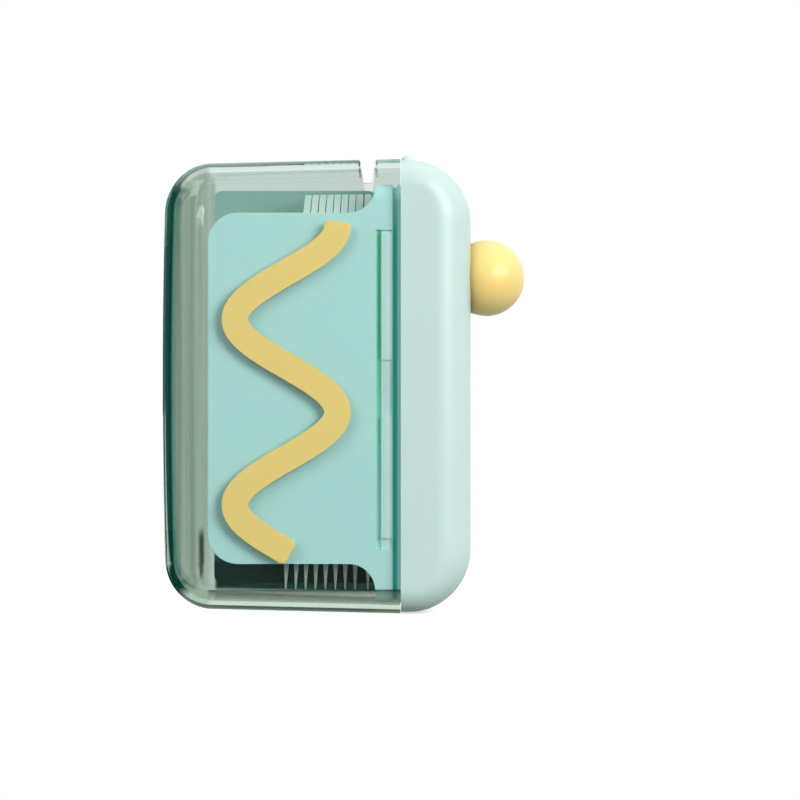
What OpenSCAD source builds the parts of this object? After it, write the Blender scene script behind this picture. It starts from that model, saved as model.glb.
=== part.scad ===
/* [Case] */
// Length of the clear case from its closed end to its mouth
case_len = 44.5; // [40:0.5:56]
// Height of the clear case at its mouth
case_h = 84.6; // [80:0.2:96]
// How much lower the clear case is at its closed end than at its mouth
case_draft = 2.1; // [0:0.1:3]
// Thickness of the clear case from front to back
case_t = 24.6; // [23.6:0.1:28]
// Wall of the clear case
case_wall = 1.5; // [1.2:0.1:1.8]
// Corner radius of the closed end, seen from the front
case_corner_r = 9; // [7:0.5:12]
// Round-over between the window and the long sides
case_side_r = 4.5; // [3:0.25:5]
// Round-over between the window and the closed end
case_end_r = 8; // [5:0.25:8.5]
// Bulge of the closed end
case_crown = 0.7; // [0:0.1:1.5]
/* [Exit slot] */
// Width of the slot at its throat
slot_w = 1.6; // [1.5:0.05:2]
// Lean of the slot's sides
slot_lean = 7; // [3:0.5:12]
// Depth of the slot below the top of the mouth
slot_depth = 4.8; // [4:0.1:6]
// Rounding of the slot's lips
slot_lip_r = 1.2; // [0.5:0.1:1.5]
/* [Lid] */
// Length of the lid from its rim to its end face
lid_len = 13; // [12.5:0.25:18]
// How far the lid's long sides stand in from those of the case
lid_step_in = 0.3; // [0:0.1:1]
// How far the lid stands out in front of the case's windows
lid_step_out = 0.2; // [0:0.1:1]
// Wall of the lid
lid_wall = 1.6; // [1.2:0.1:2]
// Corner radius of the lid's end, seen from the front
lid_corner_r = 11.5; // [8:0.5:12]
// Round-over of the lid's long edges
lid_round_r = 4.7; // [3:0.1:5]
// Round-over between the lid's faces and its end
lid_end_r = 6.5; // [4.7:0.1:6.5]
// Parting gap between the case and the lid
seam_gap = 0.1; // [0.1:0.05:0.4]
// Radius of the thumb nub on the lid's rim
nub_r = 1.1; // [0.9:0.05:1.6]
// How far the nub stands above the lid
nub_rise = 1.1; // [0.8:0.1:1.2]
// Length of the nub across the lid
nub_len = 11; // [6:0.5:14]
/* [Ball button] */
// Diameter of the ball
ball_d = 14.3; // [12:0.1:15]
// Distance from the lid's end face to the middle of the ball
ball_out = 3.1; // [2:0.1:4]
// Height of the ball's centre above the undersides of the picks' lower arms
ball_rise = 4.2; // [3:0.1:6]
// Stroke of the ball
press_stroke = 4.5; // [4:0.1:5]
// Running gap round the ball
ball_gap = 0.3; // [0.2:0.05:0.5]
/* [Magazine] */
// Length of the front plate beyond the flange
plate_len = 31; // [28:0.5:34]
// Step from the flange's lower edge up to the plate
plate_step_low = 7.4; // [5:0.2:10]
// Step from the plate up to the flange's upper edge
plate_step_top = 5.4; // [5:0.2:10]
// Corner radius of the front plate
plate_corner_r = 5.6; // [3:0.2:8]
// Wall of the plates and of the flange
plate_wall = 1.2; // [1:0.1:1.4]
// Length of the flange inside the case
flange_len = 4.65; // [4.4:0.05:6]
// Room above the flange, up to the case
flange_headroom = 3.3; // [1:0.1:6]
// Radius of the hollow corners where the plate meets the flange
flange_fillet_r = 5; // [3:0.5:6]
// Gap between the flange's lower edge and the case
flange_drop = 0.5; // [0.4:0.1:1]
// Gap between the magazine and the case in front and behind
magazine_gap = 0.3; // [0.2:0.05:0.5]
// Length of the spigot that seats in the lid
spigot_len = 1.5; // [1:0.1:1.6]
/* [Picks] */
// Length of a pick from tip to head
pick_len = 74.5; // [72:0.5:76]
// Thickness of a pick
pick_t = 1.25; // [1.1:0.05:1.3]
// How far below the middle of the case the picks' middle lies
pick_drop = 0.85; // [0:0.05:1]
// Number of picks in the stack
pick_count = 8; // [4:1:8]
// Spacing of the tips along the stack
tip_pitch = 1.864; // [1.6:0.01:1.9]
// Spacing of the heads along the stack
head_pitch = 1.376; // [1.36:0.002:1.5]
// Diameter of the floss
floss_d = 0.45; // [0.3:0.05:0.6]
// Running gap between a pick and what it slides past
pick_gap = 0.3; // [0.2:0.05:0.4]
// Room between the pick in the channel and the flange
channel_play = 0.8; // [0.5:0.05:1]
// Length of the tip that narrows to a point
tip_taper = 7.5; // [4:0.5:9]
/* [Mechanism] */
// Lift of the pick in the channel
lift = 9.3; // [8:0.1:9.5]
// Angle that the lever turns through
lever_swing = 37; // [35:0.5:38]
// Thickness of the lever
lever_t = 1.4; // [1.2:0.1:1.5]
// Diameter of the lever's pin
lever_pin_d = 2; // [1.6:0.1:2.2]
// Radius of the lever's nose
nose_r = 1.5; // [1.2:0.1:1.7]
// Room between the magazine's end wall and the follower
spring_room = 9.4; // [8:0.1:12]
// Travel left behind the follower for more picks
feed_travel = 3.7; // [2:0.1:4]
// Wire of both springs
spring_wire = 0.6; // [0.5:0.05:0.7]
// Curls of the button spring
button_spring_turns = 6; // [5:1:8]
// Curls of the follower spring
follower_spring_turns = 5; // [4:1:7]
/* [Printed ribbon] */
// Width of the ribbon
ribbon_w = 4.9; // [3:0.1:6]
// Sideways swing of the ribbon
ribbon_swing = 9.5; // [6:0.5:10]
// Height of the ribbon
ribbon_h = 60; // [40:1:64]
// Thickness of the printed layer
print_t = 0.12; // [0.08:0.01:0.15]
/* [Hidden] */
$fn = 64;
eps = 0.01;
cut_past = 1;
contact_gap = 0.1;
fit_gap = 0.05;
ball_r = ball_d / 2;

// Places along X: the closed end, the mouth, the lid's rim, its end face and the ball
total_len = case_len + seam_gap + lid_len + ball_out + ball_r;
end_x = -total_len / 2;
mouth_x = end_x + case_len;
rim_x = mouth_x + seam_gap;
lid_end_x = rim_x + lid_len;
ball_x = lid_end_x + ball_out;

// Heights and thicknesses of the case and of the lid
mid_z = case_h / 2;
inner_bottom_z = case_wall;
inner_half_t = case_t / 2 - case_wall;
lid_h = case_h - 2 * lid_step_in;
lid_t = case_t + 2 * lid_step_out;
lid_inner_h = lid_h - 2 * lid_wall;
lid_inner_t = lid_t - 2 * lid_wall;

// Magazine: outer face of its plates, inner face, and its places along X
plate_y = inner_half_t - magazine_gap;
bay_y = plate_y - plate_wall;
flange_x = mouth_x - flange_len;
plate_end_x = flange_x - plate_len;
flange_z0 = inner_bottom_z + flange_drop;
flange_top_z = case_h - case_wall - flange_headroom;
flange_h = flange_top_z - flange_z0;
plate_z0 = flange_z0 + plate_step_low;
plate_top_z = flange_top_z - plate_step_top;

// Picks: the channel under the slot, and the stack beside it
channel_x = flange_x - channel_play - pick_t / 2;
pick_z = mid_z - pick_drop - pick_len / 2;
pick_bow_w = 2 * (bay_y - pick_gap);
stack_head_x = channel_x - pick_t - pick_gap;
stack_lean = 0.86;

pick_scale_v = pick_len / 74.5;
pick_scale_u = pick_bow_w / 18;

// Lever: its pivot sits level with the middle of the finger's travel
finger_len = lift / (2 * sin(lever_swing / 2));
nose_arm = press_stroke / sin(lever_swing);
arm_under_z = pick_z + 54.3 * pick_scale_v;
finger_x = channel_x + 0.05;
pivot_x = finger_x + finger_len * cos(lever_swing / 2);
pivot_z = arm_under_z - contact_gap + lift / 2;
lever_y = bay_y - pick_gap - lever_t;
hub_r = lever_pin_d / 2 + 1.4;
ball_z = arm_under_z + ball_rise;

// Button carrier: its stop plate rests behind the lid's end wall
carrier_plate_t = 1.3;
carrier_x1 = lid_end_x - lid_wall - pick_gap;
carrier_x0 = carrier_x1 - carrier_plate_t;
carrier_hub_r = 3.6;
stud_r = 2.2;
hub_len = 9.6;
guide_r = carrier_hub_r + contact_gap;
guide_wall = 1.2;
guide_len = 6.4;
base_x = flange_x + plate_wall;

// Follower: wedge behind the first pick
follower_z0 = plate_z0 + flange_fillet_r;
follower_z1 = plate_top_z - flange_fillet_r;
follower_back_x = plate_end_x + plate_wall + spring_room;

function lerp(a, b, t) = a + (b - a) * t;
function tip_x(i) = stack_head_x - stack_lean - (pick_count - 1 - i) * tip_pitch;
function top_x(i) = stack_head_x - (pick_count - 1 - i) * head_pitch;

// Smooth curve through hand-picked points, sampled in equal steps
function spline_at(p, i, t) =
    let (a = p[max(i - 1, 0)], b = p[i], c = p[i + 1], d = p[min(i + 2, len(p) - 1)])
    0.5 * (2 * b + (c - a) * t + (2 * a - 5 * b + 4 * c - d) * t * t
        + (3 * b - 3 * c + d - a) * t * t * t);
function spline(p, steps) = concat(
    [for (i = [0 : len(p) - 2], k = [0 : steps - 1]) spline_at(p, i, k / steps)],
    [p[len(p) - 1]]);

// Outline of a stroke whose points are [across, up, half width]
function side_dir(s, i) =
    let (a = s[max(i - 1, 0)], b = s[min(i + 1, len(s) - 1)], d = [b[0] - a[0], b[1] - a[1]])
    [-d[1], d[0]] / norm(d);
function stroke_side(s, sign, i) = [s[i][0], s[i][1]] + sign * s[i][2] * side_dir(s, i);
function stroke_outline(s) = concat(
    [for (i = [0 : len(s) - 1]) stroke_side(s, 1, i)],
    [for (i = [len(s) - 1 : -1 : 0]) stroke_side(s, -1, i)]);

// Shell form: a rounded outline seen from the front, open at one end, whose round-over grows
// from the long sides to the closed end. Each station is [x, z, normal x, normal z, end share].
corner_steps = 12;
crown_steps = 6;
round_steps = 7;
function corner_station(len, half_h, r, a, up) =
    [r - r * cos(a), up * (half_h - r + r * sin(a)), -cos(a), up * sin(a), pow(cos(a), 2)];
function shell_stations(len, half_h, r, steps) = concat(
    [[len, half_h, 0, 1, 0]],
    [for (k = [0 : corner_steps]) corner_station(len, half_h, r, 90 - 90 * k / corner_steps, 1)],
    [for (k = [1 : 1 : steps - 1]) [0, (half_h - r) * (1 - 2 * k / steps), -1, 0, 1]],
    [for (k = [0 : corner_steps]) corner_station(len, half_h, r, 90 * k / corner_steps, -1)],
    [[len, -half_h, 0, -1, 0]]);
function shell_ring(s, half_t, side_r, end_r) =
    let (r = lerp(side_r, end_r, s[4]))
    [for (side = [1, -1], k = [0 : round_steps])
        let (a = 90 * (side > 0 ? round_steps - k : k) / round_steps)
        [s[0] - s[2] * r * (1 - cos(a)), side * (half_t - r * (1 - sin(a))),
            s[1] - s[3] * r * (1 - cos(a))]];
function crown_warp(p, len, half_h, crown, draft) =
    let (u = p[2] / half_h, w = max(0, 1 - p[0] / (len / 2)))
    [p[0] + crown * u * u * w, p[1], p[2] * (1 - draft / (2 * half_h) * (1 - p[0] / len))];
function shell_points(len, half_h, half_t, r, side_r, end_r, crown, draft) =
    [for (s = shell_stations(len, half_h, r, crown > 0 ? crown_steps : 1),
        p = shell_ring(s, half_t, side_r, end_r))
        crown_warp(p, len, half_h, crown, draft)];

// Flat window at the first or the last place of the rings, as a ladder between facing stations
function window(rows, ring, j) =
    [for (i = [0 : ceil(rows / 2) - 2], half = [0, 1])
        let (a = i, b = i + 1, c = rows - 1 - i, d = rows - 2 - i,
            t = half == 0 ? [a, b, c] : [b, d, c])
        if (t[0] != t[1]) [for (k = j == 0 ? t : [t[2], t[1], t[0]]) k * ring + j]];
module shell_form(len, h, t, r, side_r, end_r, crown = 0, draft = 0) {
    points = shell_points(len, h / 2, t / 2, r, side_r, end_r, crown, draft);
    ring = 2 * (round_steps + 1);
    rows = len(points) / ring;
    skin = [for (i = [0 : rows - 2], j = [0 : ring - 2], half = [0, 1])
        let (a = i * ring + j, b = a + 1, c = a + ring, d = c + 1)
        half == 0 ? [a, b, c] : [b, d, c]];
    mouth = concat([for (j = [ring - 1 : -1 : 0]) j],
        [for (j = [0 : ring - 1]) (rows - 1) * ring + j]);
    polyhedron(points = points, convexity = 6,
        faces = concat(skin, window(rows, ring, 0), window(rows, ring, ring - 1), [mouth]));
}

// Turns a drawing in X and Z into a slab between two places along Y
module front_slab(y0, y1) {
    translate([0, y1, 0])
        rotate([90, 0, 0])
            linear_extrude(height = y1 - y0)
                children();
}

// Turns a drawing in Y and Z into a slab between two places along X
module side_slab(x0, x1) {
    translate([x0, 0, 0])
        rotate([90, 0, 90])
            linear_extrude(height = x1 - x0)
                children();
}

module box(x0, x1, y0, y1, z0, z1) {
    translate([x0, y0, z0])
        cube([x1 - x0, y1 - y0, z1 - z0]);
}

// Round bar along X
module bar_x(x0, x1, r, y = 0, z = 0) {
    translate([x0, y, z])
        rotate([0, 90, 0])
            cylinder(h = x1 - x0, r = r);
}

// Round bar along Y
module bar_y(y0, y1, r, x, z) {
    translate([x, y1, z])
        rotate([90, 0, 0])
            cylinder(h = y1 - y0, r = r);
}

module rounded_rect(x0, x1, y0, y1, r) {
    translate([x0 + r, y0])
        square([x1 - x0 - 2 * r, y1 - y0]);
    translate([x0, y0 + r])
        square([x1 - x0, y1 - y0 - 2 * r]);
    for (x = [x0 + r, x1 - r], y = [y0 + r, y1 - r])
        translate([x, y])
            circle(r = r);
}

// Clear case

module case_shell() {
    translate([end_x, 0, mid_z])
        shell_form(case_len, case_h, case_t, case_corner_r, case_side_r, case_end_r,
            case_crown, case_draft);
}

module case_hollow() {
    translate([end_x + case_wall, 0, mid_z])
        shell_form(case_len - case_wall + cut_past, case_h - 2 * case_wall, case_t - 2 * case_wall,
            case_corner_r - case_wall, case_side_r - case_wall, case_end_r - case_wall,
            case_crown, case_draft);
}

// One side of the slot: from its foot up the leaning side and round the lip
lip_along = (slot_depth - slot_lip_r + slot_lip_r * sin(slot_lean)) / cos(slot_lean);
lip_x = slot_w / 2 + lip_along * sin(slot_lean) + slot_lip_r * cos(slot_lean);
slot_side = concat([[slot_w / 2, -slot_depth]],
    [for (k = [0 : 6])
        let (t = lerp(180 - slot_lean, 90, k / 6))
        [lip_x + slot_lip_r * cos(t), -slot_lip_r + slot_lip_r * sin(t)]],
    [[lip_x, 1]]);

module exit_slot() {
    n = len(slot_side);
    front_slab(-case_t, case_t)
        translate([channel_x, case_h])
            polygon(concat(slot_side,
                [for (k = [n - 1 : -1 : 0]) [-slot_side[k][0], slot_side[k][1]]]));
}

module clear_case() {
    color([0.62, 0.72, 0.68, 0.45])
        difference() {
            case_shell();
            case_hollow();
            exit_slot();
        }
}

// Printed ribbon: a plain wave with blunt ends, on the outside of the front window

function wave_angle(t) = 630 * t + 90;
function wave_point(t) = [ribbon_swing * sin(wave_angle(t)), ribbon_h * (0.5 - t), ribbon_w / 2];
wave_steps = 72;
wave = [for (k = [0 : wave_steps]) wave_point(k / wave_steps)];
wave_outline = stroke_outline(wave);
ribbon_x = plate_end_x + plate_len * 0.47;

// Blunt end of the ribbon with two small round corners, from one side of the stroke to the other
end_round_r = 0.9;
function blunt_end(a, b) =
    let (d = (b - a) / norm(b - a), out = [-d[1], d[0]])
    [for (k = [1 : 8])
        let (c = k < 5 ? a + d * end_round_r : b - d * end_round_r,
            t = k < 5 ? 180 - 22.5 * k : 90 - 22.5 * (k - 5))
        c + end_round_r * (cos(t) * d + sin(t) * out)];

ribbon_outline = concat(
    [for (k = [0 : wave_steps]) wave_outline[k]],
    blunt_end(wave_outline[wave_steps], wave_outline[wave_steps + 1]),
    [for (k = [wave_steps + 1 : 2 * wave_steps + 1]) wave_outline[k]],
    blunt_end(wave_outline[2 * wave_steps + 1], wave_outline[0]));

module printed_ribbon() {
    color([0.9, 0.815, 0.44])
        front_slab(-case_t / 2 - print_t, -case_t / 2)
            translate([ribbon_x, mid_z - 0.5])
                polygon(ribbon_outline);
}

// Magazine

module plate_drawing() {
    rounded_rect(plate_end_x, flange_x + eps + plate_corner_r, plate_z0, plate_top_z, plate_corner_r);
}

module flange_fillet(z, up) {
    translate([flange_x, z])
        difference() {
            translate([-flange_fillet_r, up > 0 ? 0 : -flange_fillet_r])
                square([flange_fillet_r + eps, flange_fillet_r]);
            translate([-flange_fillet_r, up * flange_fillet_r])
                circle(r = flange_fillet_r);
        }
}

module front_plate() {
    front_slab(-plate_y, -bay_y) {
        intersection() {
            plate_drawing();
            translate([plate_end_x, 0])
                square([plate_len + eps, case_h]);
        }
        flange_fillet(plate_z0, -1);
        flange_fillet(plate_top_z, 1);
    }
}

flange_corner_r = 3.2;
module flange_section(inset) {
    translate([-plate_y + inset, flange_z0 + inset])
        rounded_rect(0, 2 * (plate_y - inset), 0, flange_h - 2 * inset, flange_corner_r - inset);
}

// Relief on the flange's front: a long groove, and beside it a shallow band with two bars in it
relief_x = flange_x + 0.15;
groove_w = 0.95;
groove_deep = 0.7;
relief_z0 = flange_z0 + 0.13 * flange_h;
relief_h = 0.76 * flange_h;
bar_w = 2;
bar_rows = [[0.156, 0.289], [0.581, 0.301]] * flange_h;
band_deep = 0.4;
module flange_relief() {
    bar_x0 = relief_x + groove_w;
    y = -plate_y;
    box(relief_x, bar_x0, y - 1, y + groove_deep, relief_z0, relief_z0 + relief_h);
    difference() {
        box(bar_x0 - eps, bar_x0 + bar_w, y - 1, y + band_deep, relief_z0, relief_z0 + relief_h);
        for (row = bar_rows)
            box(bar_x0 - 1, bar_x0 + bar_w + 1, y - 2, y + 1, flange_z0 + row[0],
                flange_z0 + row[0] + row[1]);
    }
}

// Groove round the flange that the case's mouth clicks into
snap_x = relief_x + groove_w + bar_w + 0.1;
snap_w = 0.85;
snap_deep = 0.5;
module snap_groove() {
    difference() {
        box(snap_x, snap_x + snap_w, -case_t, case_t, 0, case_h);
        side_slab(snap_x - 1, snap_x + snap_w + 1)
            flange_section(snap_deep);
    }
}

spigot_x0 = rim_x + 0.1;
module spigot_section(inset) {
    half_y = lid_inner_t / 2 - contact_gap - inset;
    half_z = lid_inner_h / 2 - contact_gap - inset;
    translate([-half_y, mid_z - half_z])
        rounded_rect(0, 2 * half_y, 0, 2 * half_z, 3 - inset);
}

module flange_tray() {
    difference() {
        union() {
            side_slab(flange_x, spigot_x0 + eps)
                flange_section(0);
            side_slab(spigot_x0, spigot_x0 + spigot_len)
                spigot_section(0);
        }
        side_slab(base_x, spigot_x0 + spigot_len + 1)
            flange_section(plate_wall);
        flange_relief();
        snap_groove();
    }
}

window_half_h = lift / 2 + 1.6;
module finger_window() {
    box(flange_x - 1, base_x + eps, lever_y - pick_gap, bay_y, pivot_z - window_half_h,
        pivot_z + window_half_h);
}

module button_guide() {
    bar_x(base_x - eps, base_x + guide_len, guide_r + guide_wall, 0, ball_z);
}

ear_y0 = lever_y + lever_t + contact_gap;
ear_y1 = ear_y0 + plate_wall;
ear_r = hub_r - 0.4;
module lever_ear() {
    difference() {
        union() {
            box(base_x - eps, pivot_x, ear_y0, ear_y1, pivot_z - ear_r, pivot_z + ear_r);
            bar_y(ear_y0, ear_y1, ear_r, pivot_x, pivot_z);
        }
        bar_y(ear_y0 - 1, ear_y1 + 1, lever_pin_d / 2 + fit_gap / 2, pivot_x, pivot_z);
    }
}

module magazine_frame() {
    color([0.62, 0.83, 0.81]) {
        difference() {
            union() {
                front_plate();
                flange_tray();
                button_guide();
            }
            finger_window();
            bar_x(flange_x - 1, base_x + guide_len + 1, guide_r, 0, ball_z);
        }
        lever_ear();
    }
}

// Rail that the lower arms of the bows hang on
arm_rail_w = bay_y - lever_y + pick_gap;
arm_rail_z1 = arm_under_z - pick_gap;
rail_h = 2;
rail_end_x = finger_x - 1.3;

module arm_rail() {
    box(plate_end_x + eps, rail_end_x, bay_y - arm_rail_w, bay_y + eps, arm_rail_z1 - rail_h,
        arm_rail_z1);
}

back_z0 = flange_z0 + 2.6;
back_corner_r = 1.5;
module magazine_back() {
    color([0.6, 0.81, 0.78]) {
        front_slab(bay_y, plate_y)
            rounded_rect(plate_end_x, flange_x, back_z0, flange_top_z, back_corner_r);
        box(plate_end_x, plate_end_x + plate_wall, -bay_y, bay_y + eps, plate_z0 + plate_corner_r,
            plate_top_z - plate_corner_r);
        arm_rail();
    }
}

// Follower and its spring

function first_pick_face(z) =
    lerp(tip_x(0), top_x(0), (z - pick_z) / pick_len) - pick_t / 2 - pick_gap;
follower_web = 3.4;
module follower() {
    color([0.93, 0.94, 0.92])
        difference() {
            front_slab(-bay_y + pick_gap, bay_y - pick_gap)
                polygon([[follower_back_x, follower_z0],
                    [first_pick_face(follower_z0), follower_z0],
                    [first_pick_face(follower_z1), follower_z1],
                    [follower_back_x, follower_z1]]);
            box(follower_back_x - 1, first_pick_face(follower_z1) + 1,
                bay_y - arm_rail_w - pick_gap, bay_y,
                arm_rail_z1 - rail_h - pick_gap, arm_rail_z1 + pick_gap);
            bar_x(follower_back_x - eps, follower_back_x + follower_web / 2,
                follower_coil_r + spring_wire, 0, mid_z);
        }
}

// Spring along X: one unbroken helical tube with a straight lead at each end
coil_rings = 8;
coil_sides = 6;
follower_coil_r = 3.6;
button_coil_r = 5.7;
function coil_ring(x, a, r, w) =
    [for (k = [0 : coil_sides - 1])
        let (b = 360 * k / coil_sides, q = r + w * cos(b))
        [x + w * sin(b), q * cos(a), q * sin(a)]];
function coil_points(l, r, w, turns) =
    [for (i = [0 : turns * coil_rings]) each coil_ring(l * i / (turns * coil_rings),
        360 * i / coil_rings, r, w)];
module coil(x0, x1, r, z, turns) {
    w = spring_wire / 2;
    points = coil_points(x1 - x0 - 2 * w, r, w, turns);
    rows = turns * coil_rings + 1;
    skin = [for (i = [0 : rows - 2], j = [0 : coil_sides - 1], half = [0, 1])
        let (n = (j + 1) % coil_sides, a = i * coil_sides + j, b = i * coil_sides + n,
            c = a + coil_sides, d = b + coil_sides)
        half == 0 ? [a, b, c] : [b, d, c]];
    first = [for (j = [coil_sides - 1 : -1 : 0]) j];
    last = [for (j = [0 : coil_sides - 1]) (rows - 1) * coil_sides + j];
    translate([x0 + w, 0, z])
        polyhedron(points = points, faces = concat(skin, [first, last]), convexity = 10);
}

// Least gap between neighbouring curls, measured on the rings' own points
function curl_gap(l, r, turns) =
    let (p = coil_points(l - spring_wire, r, spring_wire / 2, turns), n = coil_rings * coil_sides)
    min([for (i = [0 : n - 1], j = [0 : coil_sides - 1])
        norm(p[i] - p[n + floor(i / coil_sides) * coil_sides + j])]);

follower_spring_x0 = plate_end_x + plate_wall + contact_gap;
follower_spring_x1 = follower_back_x + follower_web / 2 - contact_gap;
module follower_spring() {
    color([0.75, 0.76, 0.78])
        coil(follower_spring_x0, follower_spring_x1, follower_coil_r, mid_z,
            follower_spring_turns);
}

button_spring_x0 = base_x + contact_gap;
button_spring_x1 = carrier_x0 - contact_gap;
module button_spring() {
    color([0.75, 0.76, 0.78])
        coil(button_spring_x0, button_spring_x1, button_coil_r, ball_z, button_spring_turns);
}
echo(follower_curl_gap = curl_gap(follower_spring_x1 - follower_spring_x0, follower_coil_r,
    follower_spring_turns));
echo(button_curl_gap = curl_gap(button_spring_x1 - button_spring_x0, button_coil_r,
    button_spring_turns));

// Picks: a C-shaped bow that runs into a handle and a toothpick tip, with a short lower arm.
// Points are [across, up from the tip, half width] for a pick 74.5 long and 18 wide.
spine = [[4.2, 72.2, 1.3], [3, 72.8, 1.7], [-0.9, 71.6, 1.95], [-3.9, 69.6, 2.05],
    [-6, 66.8, 1.9], [-7.1, 62.6, 1.88], [-6.6, 59.2, 1.85], [-5, 55.9, 2.1], [-3.4, 53, 2.6],
    [-3.2, 50.4, 2.3], [-3.9, 47, 1.85], [-4.5, 44.6, 1.75], [-5.2, 42, 2], [-5.55, 37.5, 2.4],
    [-5.5, 32.6, 2.45], [-4.8, 27.8, 2.35], [-4.75, 22, 2], [-5.1, 18.4, 1.45],
    [-5.6, 14, 1.3], [-5.7, 10.3, 1.25], [-5.5, 7.2, 0.95], [-4.85, 4.2, 0.65],
    [-3.8, 1.9, 0.4], [-2.8, 0.05, 0.12]];
lower_arm = [[-4, 53.6, 1.6], [-1, 53.7, 1.75], [2.5, 54.3, 1.55], [6, 55.4, 1.45],
    [8.4, 56.3, 1.1]];
string_top = [3.2, 71.8];
string_low = [6.8, 56.8];

module pick_drawing() {
    scale([pick_scale_u, pick_scale_v]) {
        polygon(stroke_outline(spline(spine, 4)));
        polygon(stroke_outline(spline(lower_arm, 4)));
    }
}

module place_pick(tip, top) {
    translate([tip, 0, pick_z])
        rotate([0, atan((top - tip) / pick_len), 0])
            children();
}

// Edge-on form of a pick: flat sides, a rounded head and a tip that narrows to a point
tip_t = 0.25;
head_steps = 6;
pick_edge = concat([[tip_t / 2, -1], [tip_t / 2, 0], [pick_t / 2, tip_taper]],
    [for (k = [0 : head_steps])
        let (a = 90 * k / head_steps)
        pick_t / 2 * [0.35 + 0.65 * cos(a), 0.65 * sin(a)] + [0, pick_len - pick_t * 0.325]]);

module pick_body() {
    n = len(pick_edge);
    intersection() {
        side_slab(-pick_t, pick_t)
            pick_drawing();
        front_slab(-pick_bow_w, pick_bow_w)
            polygon(concat(pick_edge,
                [for (k = [n - 1 : -1 : 0]) [-pick_edge[k][0], pick_edge[k][1]]]));
    }
}

module floss() {
    low = [string_low[0] * pick_scale_u, string_low[1] * pick_scale_v];
    top = [string_top[0] * pick_scale_u, string_top[1] * pick_scale_v];
    translate([0, low[0], low[1]])
        rotate([atan((low[0] - top[0]) / (top[1] - low[1])), 0, 0])
            cylinder(h = norm(top - low), r = floss_d / 2);
}

module stack_pick(i) {
    color([0.93, 0.91, 0.9])
        place_pick(tip_x(i), top_x(i))
            pick_body();
}

module stack_floss() {
    color([0.97, 0.97, 0.96])
        for (i = [0 : pick_count - 1])
            place_pick(tip_x(i), top_x(i))
                floss();
}

module exit_pick() {
    color([0.93, 0.91, 0.9])
        place_pick(channel_x, channel_x)
            pick_body();
}

module exit_floss() {
    color([0.97, 0.97, 0.96])
        place_pick(channel_x, channel_x)
            floss();
}

// Lid

module lid_form() {
    translate([rim_x, 0, mid_z])
        mirror([1, 0, 0])
            translate([-lid_len, 0, 0])
                shell_form(lid_len, lid_h, lid_t, lid_corner_r, lid_round_r, lid_end_r);
}

module lid_hollow() {
    translate([rim_x, 0, mid_z])
        mirror([1, 0, 0])
            translate([lid_wall - lid_len, 0, 0])
                shell_form(lid_len - lid_wall + cut_past, lid_inner_h, lid_inner_t,
                    lid_corner_r - lid_wall, lid_round_r - lid_wall, lid_end_r - lid_wall);
}

module thumb_nub() {
    half = nub_len / 2 - nub_r;
    translate([rim_x + nub_r, 0, mid_z + lid_h / 2 + nub_rise - nub_r])
        rotate([90, 0, 0])
            rotate_extrude()
                intersection() {
                    rounded_rect(-nub_r, nub_r, -half - nub_r, half + nub_r, nub_r - eps);
                    translate([0, -nub_len])
                        square([nub_len, 2 * nub_len]);
                }
}

module lid_shell() {
    color([0.8, 0.9, 0.875])
        difference() {
            union() {
                lid_form();
                thumb_nub();
            }
            lid_hollow();
            bar_x(lid_end_x - lid_wall - 1, lid_end_x + 1, ball_r + ball_gap, 0, ball_z);
        }
}

// Ball button and the carrier behind it

stud_end_x = carrier_x1 - hub_len + 2;
module ball_form(r) {
    translate([ball_x, 0, ball_z])
        rotate([0, 90, 0])
            sphere(r = r);
}

module ball_button() {
    color([0.96, 0.9, 0.64]) {
        ball_form(ball_r);
        bar_x(stud_end_x, ball_x, stud_r, 0, ball_z);
    }
}

ear_half_w = 3;
ear_reach = ball_r + ball_gap + 1.4;
pad_x0 = pivot_x + nose_r + contact_gap;
pad_x1 = pad_x0 + 1;
pad_z0 = pivot_z - nose_arm - nose_r - 1;
pad_z1 = pivot_z - nose_arm * cos(lever_swing) + 0.2;
module button_carrier() {
    color([0.95, 0.95, 0.93])
        difference() {
            union() {
                box(carrier_x0, carrier_x1, -ear_half_w, ear_half_w, ball_z - ear_reach,
                    ball_z + ear_reach);
                bar_x(carrier_x1 - hub_len, carrier_x1, carrier_hub_r, 0, ball_z);
                box(pad_x0, pad_x1, -ear_half_w, lever_y + lever_t - pick_gap, pad_z0, pad_z1);
                box(pad_x0, carrier_x1, -ear_half_w, ear_half_w, pad_z0, pad_z1);
            }
            ball_form(ball_r + fit_gap);
            bar_x(stud_end_x - 0.5, carrier_x1 + 1, stud_r + fit_gap, 0, ball_z);
        }
}

// Bell crank: a finger under the pick's arm, and a nose that the carrier pushes

finger_h = 2.2;
finger_tip_h = 1.2;
finger_drawing = [[-finger_len, 0], [0, 0], [0, -finger_h], [-finger_len * 0.55, -finger_h],
    [-finger_len + 0.5, -finger_tip_h]];
module lever_slab() {
    front_slab(lever_y, lever_y + lever_t)
        children();
}

module eject_lever() {
    color([0.95, 0.95, 0.93])
        difference() {
            translate([pivot_x, 0, pivot_z])
                union() {
                    lever_slab()
                        circle(r = hub_r);
                    lever_slab()
                        rotate(lever_swing / 2)
                            polygon(finger_drawing);
                    lever_slab()
                        translate([-nose_r / 2, -nose_arm])
                            square([nose_r, nose_arm]);
                    lever_slab()
                        translate([0, -nose_arm])
                            circle(r = nose_r);
                }
            bar_y(lever_y - 1, lever_y + lever_t + 1, lever_pin_d / 2 + fit_gap, pivot_x, pivot_z);
        }
}

module lever_pin() {
    color([0.78, 0.79, 0.8])
        bar_y(lever_y - 0.1, ear_y1, lever_pin_d / 2, pivot_x, pivot_z);
}

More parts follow.
